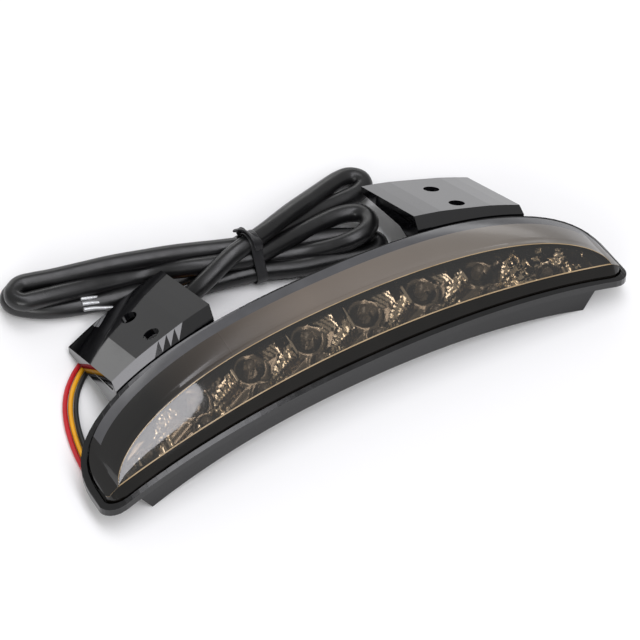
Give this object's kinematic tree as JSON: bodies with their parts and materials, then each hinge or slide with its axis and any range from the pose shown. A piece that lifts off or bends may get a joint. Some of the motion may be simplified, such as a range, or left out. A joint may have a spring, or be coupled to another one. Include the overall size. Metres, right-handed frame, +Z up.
{
  "type": "motorcycle fender-edge tail light",
  "caption": "Low crescent LED tail light with a smoked lens, two black perforated mounting legs that slip under a fender's rear edge, and a sleeved lead tied in a hank.",
  "frame": {"origin": "bottom centre of the lamp's box as it lies on a table, on the surface it rests on", "axes": "+X along the crescent towards the end without the wires, +Y from the lens's front edge towards the mounting legs, +Z up from the table through the lens"},
  "size_m": [0.2518, 0.1231, 0.0341],
  "materials": {
    "housing_plastic": "satin black moulding",
    "smoked_lens": "smoked, see-through at the window and satin at the brow",
    "black_rubber": "matt",
    "reflector_chrome": "vacuum-metallised plastic",
    "circuit_board": "solder mask",
    "led_epoxy": "clear epoxy",
    "screw_steel": "zinc plated",
    "leg_plastic": "polished black moulding",
    "black_screw": "black zinc",
    "red_wire": "PVC insulation",
    "yellow_wire": "PVC insulation",
    "black_wire": "PVC insulation",
    "cable_sleeve": "semi-gloss PVC sleeve",
    "tie_plastic": "soft black plastic",
    "tinned_copper": "tinned copper strand"
  },
  "bodies": {
    "root": {"housing": "housing_plastic", "smoked_lens": "smoked_lens", "lens_seal": "black_rubber", "reflector": "reflector_chrome", "led_board": "circuit_board", "led_lower_1": "led_epoxy", "led_lower_2": "led_epoxy", "led_lower_3": "led_epoxy", "led_lower_4": "led_epoxy", "led_lower_5": "led_epoxy", "led_lower_6": "led_epoxy", "led_lower_7": "led_epoxy", "led_lower_8": "led_epoxy", "led_upper_2": "led_epoxy", "led_upper_3": "led_epoxy", "led_upper_4": "led_epoxy", "led_upper_5": "led_epoxy", "led_upper_6": "led_epoxy", "led_upper_7": "led_epoxy", "board_screw_1": "screw_steel", "board_screw_2": "screw_steel", "board_screw_3": "screw_steel", "leg_left": "leg_plastic", "leg_right": "leg_plastic", "leg_screw_left_1": "black_screw", "leg_screw_left_2": "black_screw", "leg_screw_right_1": "black_screw", "leg_screw_right_2": "black_screw", "wire_grommet": "black_rubber", "wire_red": "red_wire", "wire_yellow": "yellow_wire", "wire_black": "black_wire", "cable_lead": "cable_sleeve", "sleeve_collar": "black_rubber", "cable_hank": "cable_sleeve", "tinned_end_1": "tinned_copper", "tinned_end_2": "tinned_copper", "tinned_end_3": "tinned_copper", "cable_tie": "tie_plastic", "tail_wire_red": "red_wire", "tail_wire_yellow": "yellow_wire", "tail_wire_black": "black_wire"}
  },
  "joints": []
}
